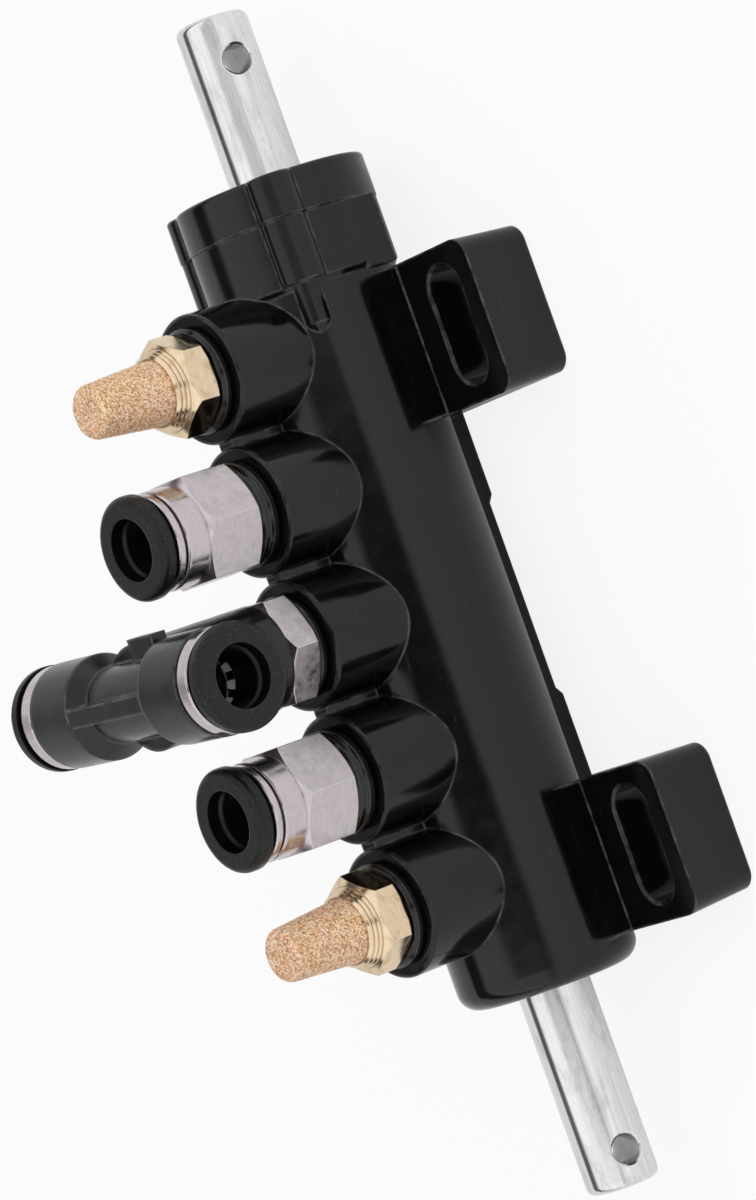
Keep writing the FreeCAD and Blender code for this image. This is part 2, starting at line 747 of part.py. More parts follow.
def hexagon_on_stud(label, across_flats, height, bevel, top, bore):
    """A stud with a bevelled hexagon, further turned steps above it and a stepped hole through it."""
    piece = turned(label, [("-stud_length", "0"), ("-stud_length", STUD), ("0", STUD)] + top)
    sketch = new_sketch(piece, "XY_Plane", label + "_hexagon_outline")
    hexagon(sketch, across_flats)
    pad(piece, sketch, height, label + "_hexagon")
    corner = f"{across_flats} / sqrt(3)"
    slope = f"{bevel} / sqrt(3)"
    revolve(piece, [
        (height, f"{corner} - {bevel}"),
        (height, f"{corner} + {bevel}"),
        (f"{height} - 2 * {slope}", f"{corner} + {bevel}"),
    ], "+Z", label + "_upper_bevel", "Groove")
    revolve(piece, [
        ("0", f"{corner} - {bevel}"),
        ("0", f"{corner} + {bevel}"),
        (f"2 * {slope}", f"{corner} + {bevel}"),
    ], "+Z", label + "_lower_bevel", "Groove")
    revolve(piece, [("-stud_length", "0")] + bore, "+Z", label + "_bore", "Groove")
    return piece


# Silencers on the outer ports

COLLAR_TOP = "(silencer_hex_height + collar_steps * collar_step_height)"
collar = [("0", "collar_diameter / 2")]
for step in range(SIZES["collar_steps"]):
    radius = f"collar_diameter / 2 - {step} * collar_step_in"
    start = f"silencer_hex_height + {step} * collar_step_height"
    collar += [(f"{start} + collar_step_height / 2", radius),
               (f"{start} + collar_step_height", f"{radius} - collar_groove"),
               (f"{start} + collar_step_height", f"{radius} - collar_step_in")]
collar = collar[:-1] + [(COLLAR_TOP, "0")]
for number, index in ((1, 0), (2, SIZES["port_count"] - 1)):
    SEAT = "element_base_diameter / 2 + element_clearance"
    holder = hexagon_on_stud(f"silencer_body_{number}", "silencer_hex", "silencer_hex_height",
                             "silencer_hex_bevel", collar, [
        ("-stud_length", FLOW),
        (f"{COLLAR_TOP} - element_seat", FLOW),
        (f"{COLLAR_TOP} - element_seat", SEAT),
        (COLLAR_TOP, SEAT),
        (COLLAR_TOP, "0"),
    ])
    place(holder, port_x(index), HEX_FOOT, "silencer_turn")
    element = turned(f"silencer_element_{number}", [
        ("0", "element_base_diameter / 2 - element_wall"),
        ("0", "element_base_diameter / 2"),
        ("element_seat", "element_base_diameter / 2"),
        ("element_length", "element_tip_diameter / 2"),
        ("element_length", "0"),
        ("element_length - element_wall", "0"),
        ("element_length - element_wall", "element_tip_diameter / 2 - element_wall"),
    ])
    dress(element, "Fillet", "element_round",
          lambda edge: is_circle(edge, size("element_tip_diameter / 2"), ("z", size("element_length"))),
          f"element_tip_{number}")
    place(element, port_x(index), f"{HEX_FOOT} + {COLLAR_TOP} - element_seat")


def push_in_parts(name, along, start, band, where):
    """The guide ring, claw ring, tube seal and release ring of one push-in port; band is tee_ or nothing."""
    guide_side = f"{band}guide_diameter / 2"
    guide_top = f"{band}guide_height"
    ring_back = f"({guide_top} + ring_travel + ring_gap)"

    def at(distance):
        return f"{start} + {distance}"

    sleeve = f"{TUBE} + ring_wall"
    inside = f"{sleeve} + ring_slide_gap"
    guide = turned(f"guide_ring_{name}", [
        (at("-guide_sleeve"), inside),
        (at("-guide_sleeve"), f"{CHAMBER} - guide_clearance"),
        (at("guide_groove"), f"{CHAMBER} - guide_clearance"),
        (at("guide_groove"), f"{guide_side} - guide_bevel"),
        (at("guide_groove + guide_bevel"), guide_side),
        (at(f"{guide_top} - guide_bevel"), guide_side),
        (at(guide_top), f"{guide_side} - guide_bevel"),
        (at(guide_top), inside),
    ], along)
    claw_top = "-guide_sleeve - claw_seat_gap"
    rim = f"{CHAMBER} - claw_seat_gap"
    claw = turned(f"claw_ring_{name}", [
        (at(claw_top), rim),
        (at(claw_top), f"{rim} - claw_rim"),
        (at(f"{claw_top} - claw_height"), f"{TUBE} + claw_tip_gap"),
        (at(f"{claw_top} - claw_height - claw_thickness"), f"{TUBE} + claw_tip_gap"),
        (at(f"{claw_top} - claw_thickness"), f"{rim} - claw_rim"),
        (at(f"{claw_top} - claw_thickness"), rim),
    ], along)
    if along == "+Z":
        role, deep, axis = "XY_Plane", at(claw_top), "Z_Axis"
    else:
        role, deep, axis = "XZ_Plane", at(claw_top), "Y_Axis"
    sketch = new_sketch(claw, role, f"claw_gap_outline_{name}", deep if along != "+Y" else f"-({deep})")
    polygon(sketch, [(TUBE, "-claw_gap / 2"), (TUBE, "claw_gap / 2"),
                     (f"{rim} - claw_rim", "claw_gap / 2"), (f"{rim} - claw_rim", "-claw_gap / 2")])
    gap = pocket(claw, sketch, "claw_height + claw_thickness", f"claw_gap_{name}", reverse=along == "+Y")
    around(claw, gap, axis, SIZES["claw_teeth"], f"claw_gaps_{name}")
    seal = o_ring(f"tube_seal_{name}", at("-tube_seal_place"),
                  f"{TUBE} + tube_seal_gap + tube_seal_section / 2", "tube_seal_section", along)
    front = f"{ring_back} + ring_thickness"
    ring = turned(f"release_ring_{name}", [
        (at("-guide_sleeve + ring_travel - ring_gap"), TUBE),
        (at("-guide_sleeve + ring_travel - ring_gap"), sleeve),
        (at(ring_back), sleeve),
        (at(ring_back), "ring_diameter / 2"),
        (at(front), "ring_diameter / 2"),
        (at(front), f"{TUBE} + ring_mouth_flare"),
        (at(f"{front} - ring_mouth_length"), f"{TUBE} + ring_mouth_flare"),
        (at(f"{front} - ring_mouth_length - ring_mouth_flare"), TUBE),
    ], along)
    axis_name = along[1].lower()
    side = -1 if along[0] == "-" else 1
    face = size(at(front)) * side
    dress(ring, "Fillet", "ring_front_round",
          lambda edge: is_circle(edge, size("ring_diameter / 2"), (axis_name, face)), f"ring_front_{name}")
    for piece in (guide, claw, seal, ring):
        where(piece)


# Straight push-in fittings on the second and the fourth port

FITTING_FOOT = "boss_height + tall_washer_height"
FITTING_TOP = "(fitting_hex_height + fitting_round_height)"
for number, index in ((2, 1), (4, 3)):
    fitting = hexagon_on_stud(f"fitting_body_{number}", "fitting_hex", "fitting_hex_height",
                              "fitting_hex_bevel", [
        ("0", "fitting_round_diameter / 2"),
        (FITTING_TOP, "fitting_round_diameter / 2"),
        (FITTING_TOP, "0"),
    ], [
        ("-stud_length", FLOW),
        (f"{FITTING_TOP} - tube_stop_depth", FLOW),
        (f"{FITTING_TOP} - tube_stop_depth", TUBE),
        (f"{FITTING_TOP} - chamber_depth", TUBE),
        (f"{FITTING_TOP} - chamber_depth", CHAMBER),
        (FITTING_TOP, CHAMBER),
        (FITTING_TOP, "0"),
    ])
    dress(fitting, "Fillet", "fitting_rim_round",
          lambda edge: is_circle(edge, size("fitting_round_diameter / 2"), ("z", size(FITTING_TOP))),
          f"fitting_rim_{number}")
    place(fitting, port_x(index), FITTING_FOOT)
    push_in_parts(str(number), "+Z", "0", "",
                  lambda piece, x=port_x(index): place(piece, x, f"{FITTING_FOOT} + {FITTING_TOP}"))


# Swivel tee on the middle port

SPIGOT = "spigot_diameter / 2"
SEAL_GROOVE = "(spigot_diameter / 2 - stem_seal_section + stem_seal_gap)"
HEX_TOP = "tee_hex_height"
stud = hexagon_on_stud("tee_stud", "fitting_hex", HEX_TOP, "tee_hex_bevel", [
    (HEX_TOP, STUD),
    (HEX_TOP, SPIGOT),
    (f"{HEX_TOP} + stem_seal_place - stem_groove_length / 2", SPIGOT),
    (f"{HEX_TOP} + stem_seal_place - stem_groove_length / 2", SEAL_GROOVE),
    (f"{HEX_TOP} + stem_seal_place + stem_groove_length / 2", SEAL_GROOVE),
    (f"{HEX_TOP} + stem_seal_place + stem_groove_length / 2", SPIGOT),
    (f"{HEX_TOP} + snap_place - snap_height / 2", SPIGOT),
    (f"{HEX_TOP} + snap_place", f"{SPIGOT} + snap_depth"),
    (f"{HEX_TOP} + snap_place + snap_height / 2", SPIGOT),
    (f"{HEX_TOP} + spigot_length", SPIGOT),
    (f"{HEX_TOP} + spigot_length", "0"),
], [
    ("-stud_length", FLOW),
    (f"{HEX_TOP} + spigot_length", FLOW),
    (f"{HEX_TOP} + spigot_length", "0"),
])
place(stud, "0", HEX_FOOT, "tee_hex_turn")
stem_seal = o_ring("tee_stud_seal", "stem_seal_place",
                   f"{SEAL_GROOVE} + (stem_seal_section + stem_seal_gap) / 2", "stem_seal_section")
TEE_FOOT = f"{HEX_FOOT} + {HEX_TOP}"
place(stem_seal, "0", TEE_FOOT)

tee = new_body("tee_body")
RUN = "(tee_axis_height - washer_height - tee_hex_height)"
TEE_END = "(tee_half_length - tee_guide_height - ring_travel - ring_gap - ring_thickness)"
revolve(tee, [
    (f"-{RUN} + swivel_gap", "0"),
    (f"-{RUN} + swivel_gap", "stem_diameter / 2"),
    ("0", "stem_diameter / 2"),
    ("0", "0"),
], "+Z", "stem")
revolve(tee, [
    (f"-{TEE_END}", "0"),
    (f"-{TEE_END}", "barrel_end_diameter / 2"),
    ("-neck_half_length", "barrel_end_diameter / 2"),
    ("-neck_half_length + shoulder_taper", "neck_diameter / 2"),
    ("neck_half_length - shoulder_taper", "neck_diameter / 2"),
    ("neck_half_length", "barrel_end_diameter / 2"),
    (TEE_END, "barrel_end_diameter / 2"),
    (TEE_END, "0"),
], "+Y", "run")
sketch = new_sketch(tee, "XZ_Plane", "web_outline", "-neck_half_length")
polygon(sketch, [("-web_width / 2", "0"), ("-web_width / 2", "barrel_end_diameter / 2 - web_drop"),
                 ("web_width / 2", "barrel_end_diameter / 2 - web_drop"), ("web_width / 2", "0")])
pad(tee, sketch, "neck_half_length * 2", "web")
sketch = new_sketch(tee, "XY_Plane", "tab_outline", "-tab_thickness / 2")
polygon(sketch, [("0", "-tab_start"), ("tab_reach", "-tab_start"), ("tab_reach", "-tab_start - tab_length"),
                 ("0", "-tab_start - tab_length")])
pad(tee, sketch, "tab_thickness", "tab")
stop = f"{TEE_END} - tube_stop_depth"
floor = f"{TEE_END} - chamber_depth"
revolve(tee, [
    (f"-{TEE_END}", "0"),
    (f"-{TEE_END}", CHAMBER),
    (f"-({floor})", CHAMBER),
    (f"-({floor})", TUBE),
    (f"-({stop})", TUBE),
    (f"-({stop})", FLOW),
    (stop, FLOW),
    (stop, TUBE),
    (floor, TUBE),
    (floor, CHAMBER),
    (TEE_END, CHAMBER),
    (TEE_END, "0"),
], "+Y", "run_bore", "Groove")
revolve(tee, [
    (f"-{RUN} + swivel_gap", "0"),
    (f"-{RUN} + swivel_gap", f"{SPIGOT} + swivel_gap"),
    (f"-{RUN} + snap_place - snap_height / 2 - swivel_play", f"{SPIGOT} + swivel_gap"),
    (f"-{RUN} + snap_place - snap_height / 2 - swivel_play", f"{SPIGOT} + snap_depth + swivel_gap"),
    (f"-{RUN} + snap_place + snap_height / 2 + swivel_play", f"{SPIGOT} + snap_depth + swivel_gap"),
    (f"-{RUN} + snap_place + snap_height / 2 + swivel_play", f"{SPIGOT} + swivel_gap"),
    (f"-{RUN} + spigot_length + swivel_play", f"{SPIGOT} + swivel_gap"),
    (f"-{RUN} + spigot_length + swivel_play", FLOW),
    ("0", FLOW),
    ("0", "0"),
], "+Z", "stem_bore", "Groove")
place(tee, "0", f"{TEE_FOOT} + {RUN}", "tee_turn")
for name, along in (("3_near", "-Y"), ("3_far", "+Y")):
    push_in_parts(name, along, TEE_END, "tee_",
                  lambda piece: place(piece, "0", f"{TEE_FOOT} + {RUN}", "tee_turn"))


# Check and write every piece

doc.recompute()
doc.removeObject(workings.Name)
doc.recompute()
for item in doc.Objects:
    if "Invalid" in item.State or "Error" in item.State:
        raise ValueError(f"{item.Name} is {item.State}")
os.makedirs("parts", exist_ok=True)
for item in doc.Objects:
    if item.TypeId != "PartDesign::Body":
        continue
    if item.Shape.isNull() or not item.Shape.isValid():
        raise ValueError(f"{item.Label} has no sound shape")
    item.Shape.exportStep(f"parts/{item.Label}.step")
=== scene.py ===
import math

import bpy
from mathutils import Matrix, Vector, noise


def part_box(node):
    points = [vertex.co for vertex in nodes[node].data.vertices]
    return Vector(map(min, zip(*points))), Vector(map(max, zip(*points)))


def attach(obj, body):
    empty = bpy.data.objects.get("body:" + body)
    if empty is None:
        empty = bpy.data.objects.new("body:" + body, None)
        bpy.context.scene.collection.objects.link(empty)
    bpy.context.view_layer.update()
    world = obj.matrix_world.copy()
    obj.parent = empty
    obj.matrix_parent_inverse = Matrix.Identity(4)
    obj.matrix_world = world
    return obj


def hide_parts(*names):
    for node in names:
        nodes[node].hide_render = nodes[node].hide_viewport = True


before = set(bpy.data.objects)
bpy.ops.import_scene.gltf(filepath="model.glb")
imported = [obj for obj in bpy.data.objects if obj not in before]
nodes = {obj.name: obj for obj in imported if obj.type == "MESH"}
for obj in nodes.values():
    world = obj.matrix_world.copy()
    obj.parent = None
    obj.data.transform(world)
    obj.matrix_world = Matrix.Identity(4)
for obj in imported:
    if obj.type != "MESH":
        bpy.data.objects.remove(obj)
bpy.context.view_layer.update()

MM = 0.001
WHITE = (1, 1, 1, 1)


# Camera, at the photograph's angle

RIGHT = Vector((-0.33554, -0.57291, -0.74715))
DOWN = Vector((-0.94137, 0.21828, 0.25538))
FORWARD = Vector((0.01678, 0.78980, -0.61314))
CAMERA_AT = Vector((-0.00581, -0.54389, 0.46377))

lens = bpy.data.cameras.new("camera")
lens.sensor_fit = "VERTICAL"
lens.sensor_height = 36
lens.lens = 150
lens.clip_start = 0.01
lens.clip_end = 20
camera = bpy.data.objects.new("camera", lens)
turn = Matrix((RIGHT, -DOWN, -FORWARD)).transposed().to_4x4()
camera.matrix_world = Matrix.Translation(CAMERA_AT) @ turn
bpy.context.scene.collection.objects.link(camera)
bpy.context.scene.camera = camera
bpy.context.scene.view_settings.view_transform = "Standard"


# Small helpers for shader nodes

NOISE_LOW, NOISE_HIGH = 0.3, 0.7    # the range that noise mostly stays in


class Graph:
    """A node tree, with one method for each kind of node that this script uses."""

    def __init__(self, tree):
        self.tree = tree

    def node(self, kind, **settings):
        made = self.tree.nodes.new(kind)
        for key, value in settings.items():
            setattr(made, key, value)
        return made

    def link(self, source, target):
        """Links an output to an input, or gives the input a plain value."""
        if hasattr(source, "is_output"):
            self.tree.links.new(source, target)
        else:
            target.default_value = source

    def math(self, operation, a, b=0.0):
        made = self.node("ShaderNodeMath", operation=operation)
        self.link(a, made.inputs[0])
        self.link(b, made.inputs[1])
        return made.outputs[0]

    def spread(self, value, low, high, start=NOISE_LOW, end=NOISE_HIGH, kind="LINEAR"):
        """value from start..end mapped to low..high, and held there outside."""
        made = self.node("ShaderNodeMapRange", interpolation_type=kind)
        self.link(value, made.inputs["Value"])
        for name, number in (("From Min", start), ("From Max", end), ("To Min", low), ("To Max", high)):
            made.inputs[name].default_value = number
        return made.outputs["Result"]

    def mask(self, value, start=NOISE_LOW, end=NOISE_HIGH, most=1.0):
        """Zero below start, most above end."""
        return self.spread(value, 0.0, most, start, end)

    def mix(self, factor, a, b, blend="MIX"):
        made = self.node("ShaderNodeMix", data_type="RGBA", blend_type=blend)
        for name, value in (("Factor", factor), ("A", a), ("B", b)):
            socket = next(s for s in made.inputs if s.name == name and s.enabled)
            self.link(value, socket)
        return next(s for s in made.outputs if s.enabled)

    def emission(self, kind, colour, strength):
        made = self.node(kind)
        self.link(colour, made.inputs["Color"])
        made.inputs["Strength"].default_value = strength
        return made.outputs[0]

    def either(self, factor, a, b):
        """Shader a where factor is zero, b where it is one."""
        made = self.node("ShaderNodeMixShader")
        for value, socket in zip((factor, a, b), made.inputs):
            self.link(value, socket)
        return made.outputs[0]

    def seen(self, mirrored=1.0):
        """One for camera and transmission rays, mirrored for glossy rays, zero for all others."""
        path = self.node("ShaderNodeLightPath").outputs
        direct = self.math("MAXIMUM", path["Is Camera Ray"], path["Is Transmission Ray"])
        return self.math("MAXIMUM", direct, self.math("MULTIPLY", path["Is Glossy Ray"], mirrored))


class Finish(Graph):
    """A material's node tree. Sizes, radii, depths and reaches are in millimetres."""

    def __init__(self, name):
        self.material = bpy.data.materials.new(name)
        self.material.use_nodes = True
        super().__init__(self.material.node_tree)
        self.shader = self.tree.nodes["Principled BSDF"]
        self.place = self.node("ShaderNodeTexCoord").outputs["Object"]

    def scaled(self, x, y, z):
        """The place in the row frame with each axis scaled, for grain that runs one way."""
        made = self.node("ShaderNodeMapping")
        self.link(self.place, made.inputs["Vector"])
        made.inputs["Scale"].default_value = (x, y, z)
        return made.outputs["Vector"]

    def noise(self, size, detail=3.0, roughness=0.55, vector=None):
        made = self.node("ShaderNodeTexNoise")
        self.link(vector or self.place, made.inputs["Vector"])
        made.inputs["Scale"].default_value = 1 / (size * MM)
        made.inputs["Detail"].default_value = detail
        made.inputs["Roughness"].default_value = roughness
        return made.outputs["Fac"]

    def cells(self, size):
        """Distance to the middle of the nearest of many random cells."""
        made = self.node("ShaderNodeTexVoronoi")
        self.link(self.place, made.inputs["Vector"])
        made.inputs["Scale"].default_value = 1 / (size * MM)
        return made.outputs["Distance"]

    def ramp(self, value, *stops):
        """A colour ramp: each stop is a place from 0 to 1 and a colour."""
        made = self.node("ShaderNodeValToRGB")
        self.link(value, made.inputs["Fac"])
        elements = made.color_ramp.elements
        while len(elements) < len(stops):
            elements.new(0.5)
        for element, (place, colour) in zip(elements, stops):
            element.position = place
            element.color = colour
        return made.outputs["Color"]

    def rounded(self, radius):
        """Normals that round each edge off."""
        made = self.node("ShaderNodeBevel", samples=6)
        made.inputs["Radius"].default_value = radius * MM
        return made.outputs["Normal"]

    def bump(self, height, depth, normal=None):
        made = self.node("ShaderNodeBump")
        self.link(height, made.inputs["Height"])
        made.inputs["Distance"].default_value = depth * MM
        made.inputs["Strength"].default_value = 1.0
        if normal:
            self.link(normal, made.inputs["Normal"])
        return made.outputs["Normal"]

    def edge_band(self, radius, full=0.80, none=0.99):
        """One along the edges, zero on the flats. Nearer to one, full and none find softer edges."""
        geometry = self.node("ShaderNodeNewGeometry").outputs["Normal"]
        dot = self.node("ShaderNodeVectorMath", operation="DOT_PRODUCT")
        self.link(self.rounded(radius), dot.inputs[0])
        self.link(geometry, dot.inputs[1])
        return self.spread(dot.outputs["Value"], 1.0, 0.0, full, none)

    def open_to_light(self, reach, shut=0.45, open_at=0.85):
        """One on open surfaces, falling to zero inside holes and grooves."""
        made = self.node("ShaderNodeAmbientOcclusion", samples=6, only_local=True)
        made.inputs["Distance"].default_value = reach * MM
        return self.mask(made.outputs["AO"], shut, open_at)

    def finish(self, colour, roughness, normal=None, **fixed):
        """Feeds the shader. fixed are uniform values, set on its own sockets."""
        self.link(colour, self.shader.inputs["Base Color"])
        self.link(roughness, self.shader.inputs["Roughness"])
        if normal:
            self.link(normal, self.shader.inputs["Normal"])
        for name, value in fixed.items():
            self.shader.inputs[name.replace("_", " ")].default_value = value
        return self.material


def grey(level):
    return (level, level, level, 1)


# Materials. dark and light are the two ends of the mottling, gloss and rough those of the roughness.

def moulded(name, dark, light, highlight_and_scuff, gloss, rough, grain, grain_size, edge, wave, **fixed):
    """Moulded plastic: faint mottling, a fine grain and a slow wave in the skin, painted highlights along
    the edges, scuffs.
    """
    g = Finish(name)
    colour = g.mix(g.mask(g.noise(6.0, detail=4.0)), grey(dark), grey(light))
    # Painted highlight: edges and rims lightened in patches, standing in for light caught by their
    # roundings
    edges = g.math("MAXIMUM", g.edge_band(0.22), g.edge_band(0.55, full=0.95, none=0.995))
    highlight_breakup = g.spread(g.noise(2.2), 0.1, 1.0, start=0.40, end=0.62)
    colour = g.mix(g.math("MULTIPLY", edges, highlight_breakup), colour, grey(highlight_and_scuff))
    scuffs = g.noise(0.5, detail=2.0, roughness=0.5, vector=g.scaled(0.12, 1, 1))
    scuffs = g.math("MULTIPLY", g.mask(scuffs, start=0.70, end=0.78), 0.2)
    colour = g.mix(scuffs, colour, grey(highlight_and_scuff))
    roughness = g.spread(g.noise(2.5, detail=4.0), gloss, rough)
    skin = g.bump(g.noise(grain_size, detail=2.0), grain, g.rounded(edge))
    skin = g.bump(g.noise(6.0, detail=1.0), wave, skin)
    return g.finish(colour, roughness, skin, **fixed)


def granular(name, dark, light, speck, highlight_and_scuff, gloss, rough):
    """Eroded black plastic: a grainy face with light specks."""
    g = Finish(name)
    grains = g.noise(0.45, roughness=0.65)
    specks = g.mask(g.noise(0.5, roughness=0.7), start=0.58, end=0.66)
    colour = g.mix(g.mask(grains), grey(dark), grey(light))
    colour = g.mix(g.math("MULTIPLY", specks, 0.5), colour, grey(speck))
    # Painted highlight: edges lightened
    colour = g.mix(g.math("MULTIPLY", g.edge_band(0.2), 0.6), colour, grey(highlight_and_scuff))
    # Painted shade: darker inside the bore and other hollows
    colour = g.mix(g.open_to_light(10.0, shut=0.70, open_at=0.95), grey(dark), colour)
    skin = g.bump(grains, 0.06, g.rounded(0.3))
    return g.finish(colour, g.spread(g.noise(1.5), gloss, rough), skin, Specular_IOR_Level=0.36)


def rubber(name, dark, light, highlight_and_scuff=0.25, gloss=0.10, rough=0.24):
    """Black washers and seals, with faint rings from the mould."""
    g = Finish(name)
    colour = g.mix(g.mask(g.noise(1.5)), grey(dark), grey(light))
    # Painted highlight: edges lightened
    colour = g.mix(g.math("MULTIPLY", g.edge_band(0.15), 0.8), colour, grey(highlight_and_scuff))
    rings = g.noise(0.3, detail=2.0, roughness=0.5, vector=g.scaled(0.04, 0.04, 1))
    return g.finish(colour, g.spread(g.noise(0.8), gloss, rough), g.bump(rings, 0.04, g.rounded(0.12)))


def drawn_steel(name, dark, light, stain, edge_glint, hole_shade):
    """Polished rod, with draw lines along it, stains, painted highlights on the edges and painted shade
    inside the holes.
    """
    g = Finish(name)
    along = g.noise(0.45, roughness=0.6, vector=g.scaled(0.015, 1, 1))
    turned = g.noise(0.12, detail=2.0, roughness=0.6, vector=g.scaled(1, 0.05, 0.05))
    stains = g.noise(2.5, detail=8.0, roughness=0.7, vector=g.scaled(0.35, 1, 1))
    outside = g.open_to_light(4.0)
    colour = g.mix(g.mask(along), grey(dark), grey(light))
    colour = g.mix(g.mask(stains, start=0.50, end=0.68, most=0.6), colour, grey(stain))
    # Painted highlight: edges lightened
    colour = g.mix(g.edge_band(0.45), colour, grey(edge_glint))
    # Painted shade: darker inside holes
    colour = g.mix(outside, grey(hole_shade), colour)
    dull = g.spread(outside, 0.5, 0.0, start=0.0, end=1.0)
    roughness = g.math("MAXIMUM", g.spread(along, 0.08, 0.17), dull)
    skin = g.bump(along, 0.004, g.rounded(0.3))
    skin = g.bump(turned, 0.0012, skin)
    return g.finish(colour, roughness, skin, Metallic=1.0)


def turned_metal(name, dark, light, tarnish, edge_glint, gloss, rough, edge, metallic=1.0):
    """Turned and milled metal: tool marks, faint patches, painted highlights on the edges, dull grooves."""
    g = Finish(name)
    marks = g.noise(0.16, roughness=0.6, vector=g.scaled(0.10, 0.10, 1))
    patches = g.noise(2.2, detail=4.0, roughness=0.6)
    colour = g.mix(g.mask(marks), dark, light)
    colour = g.mix(g.mask(patches, start=0.50, end=0.72, most=0.6), colour, tarnish)
    # Painted highlight: edges lightened
    colour = g.mix(g.math("MULTIPLY", g.edge_band(edge), 0.85), colour, edge_glint)
    colour = g.mix(g.open_to_light(0.9), tarnish, colour)
    skin = g.bump(marks, 0.0025, g.rounded(edge))
    skin = g.bump(patches, 0.012, skin)
    return g.finish(colour, g.spread(g.noise(1.2, detail=4.0), gloss, rough), skin, Metallic=metallic)


def sintered(name):
    """Bronze grains melted together: pinkish tan, with painted shade in the pores between the grains."""
    g = Finish(name)
    height = g.node("ShaderNodeAttribute", attribute_name="grain").outputs["Fac"]
    tint = g.node("ShaderNodeAttribute", attribute_name="tint").outputs["Fac"]
    grain = g.ramp(tint, (0.0, (0.62, 0.33, 0.16, 1)), (0.3, (0.88, 0.56, 0.33, 1)),
                   (0.7, (0.97, 0.72, 0.52, 1)), (1.0, (1.0, 0.90, 0.76, 1)))
    pore_shade = (0.50, 0.27, 0.14, 1)
    # Painted shade: darker in the pores between the grains
    colour = g.mix(g.mask(height, start=0.0, end=0.35), pore_shade, grain)
    pinkish, yellowish = (1.0, 0.94, 0.97, 1), (1.0, 0.98, 0.84, 1)
    blush = g.mix(g.mask(g.noise(4.0, detail=2.0)), pinkish, yellowish)
    colour = g.mix(1.0, colour, blush, "MULTIPLY")
    skin = g.bump(g.math("SUBTRACT", 1.0, g.cells(0.14)), 0.03)
    return g.finish(colour, g.spread(g.noise(0.5), 0.40, 0.6), skin, Metallic=0.25)


FINISHES = {
    "body_plastic": moulded("body_black", dark=0.0020, light=0.0034, highlight_and_scuff=0.10, gloss=0.10, rough=0.15,
                            grain=0.0016, grain_size=0.3, edge=0.4, wave=0.04, Specular_IOR_Level=0.44),
    "tee_plastic": moulded("tee_black", dark=0.006, light=0.011, highlight_and_scuff=0.11, gloss=0.16, rough=0.26,
                           grain=0.008, grain_size=0.25, edge=0.8, wave=0.05),
    "ring_plastic": granular("ring_black", dark=0.002, light=0.009, speck=0.045, highlight_and_scuff=0.07,
                             gloss=0.26, rough=0.42),
    "spacer_plastic": moulded("spacer_natural", dark=0.62, light=0.70, highlight_and_scuff=0.75, gloss=0.30, rough=0.40,
                              grain=0.008, grain_size=0.3, edge=0.2, wave=0.01),
    "washer_plastic": rubber("washer_black", dark=0.003, light=0.007),
    "seal_rubber": rubber("seal_black", dark=0.008, light=0.016),
    "rod_steel": drawn_steel("polished_steel", dark=0.76, light=0.94, stain=0.48, edge_glint=0.96, hole_shade=0.07),
    "screw_steel": turned_metal("zinc_plated_steel", dark=grey(0.50), light=grey(0.60), tarnish=grey(0.40),
                                edge_glint=grey(0.85), gloss=0.22, rough=0.36, edge=0.1),
    "claw_steel": turned_metal("spring_steel", dark=(0.90, 0.89, 0.87, 1), light=(0.97, 0.96, 0.95, 1),
                               tarnish=grey(0.8), edge_glint=grey(0.98), gloss=0.30, rough=0.40, edge=0.1,
                               metallic=0.25),
    "brass": turned_metal("yellow_brass", dark=(0.83, 0.64, 0.42, 1), light=(0.94, 0.76, 0.55, 1),
                          tarnish=(0.52, 0.33, 0.15, 1), edge_glint=(0.98, 0.92, 0.74, 1),
                          gloss=0.10, rough=0.20, edge=0.15),
    "plated_brass": turned_metal("satin_nickel", dark=(0.61, 0.55, 0.57, 1), light=(0.71, 0.65, 0.67, 1),
                                 tarnish=(0.52, 0.46, 0.48, 1), edge_glint=(0.95, 0.92, 0.92, 1),
                                 gloss=0.12, rough=0.26, edge=0.2),
    "sintered_bronze": sintered("sintered_bronze"),
}


def slot_of(node):
    """The record's material slot of a node, from the material that the frame came with."""
    return node.data.materials[0].name.split(".")[0]


for node in nodes.values():
    node.material_slots[0].material = FINISHES[slot_of(node)]


# Sintered elements, with grains that stand out of the surface. Lengths are in millimetres.

SEAT = 1.4                              # length of the straight foot, in the collar
TIP_RADIUS = 3.9                        # where side and tip would meet
TIP_ROUND = 1.1
TIP_BENDS = 6                           # steps round the tip's edge
STEP = 0.115                            # from ring to ring of vertices
AROUND = 250                            # vertices in a ring
GRAIN = 0.28
GRAIN_DEPTH = 0.10
GRAIN_REACH = 0.62                      # radius of a grain, as a share of GRAIN
TINT_DIRECTION = Vector((12.9, 78.2, 37.7))
TINT_SCATTER = 4375.8                   # with TINT_DIRECTION, makes a random number of a grain's place


def element_profile(base, length):
    """Points (radius, height) with normals, up the side, round the edge and in to the middle of the tip."""
    lean = math.atan2(base - TIP_RADIUS, length - SEAT)
    edge_radius = TIP_RADIUS - TIP_ROUND * (1 - math.sin(lean)) / math.cos(lean)
    centre = Vector((edge_radius, length - TIP_ROUND))
    outward = Vector((1, 0))
    corners = [(Vector((base, 0)), outward), (Vector((base, SEAT)), outward)]
    for k in range(TIP_BENDS + 1):
        angle = lean + (math.pi / 2 - lean) * k / TIP_BENDS
        way = Vector((math.cos(angle), math.sin(angle)))
        corners.append((centre + TIP_ROUND * way, way))
    corners.append((Vector((STEP / 2, length)), Vector((0, 1))))
    points = []
    for (a, normal_a), (b, normal_b) in zip(corners, corners[1:]):
        count = max(1, round((b - a).length / STEP))
        for k in range(count):
            t = k / count
            points.append((a.lerp(b, t), normal_a.lerp(normal_b, t).normalized()))
    points.append(corners[-1])
    return points


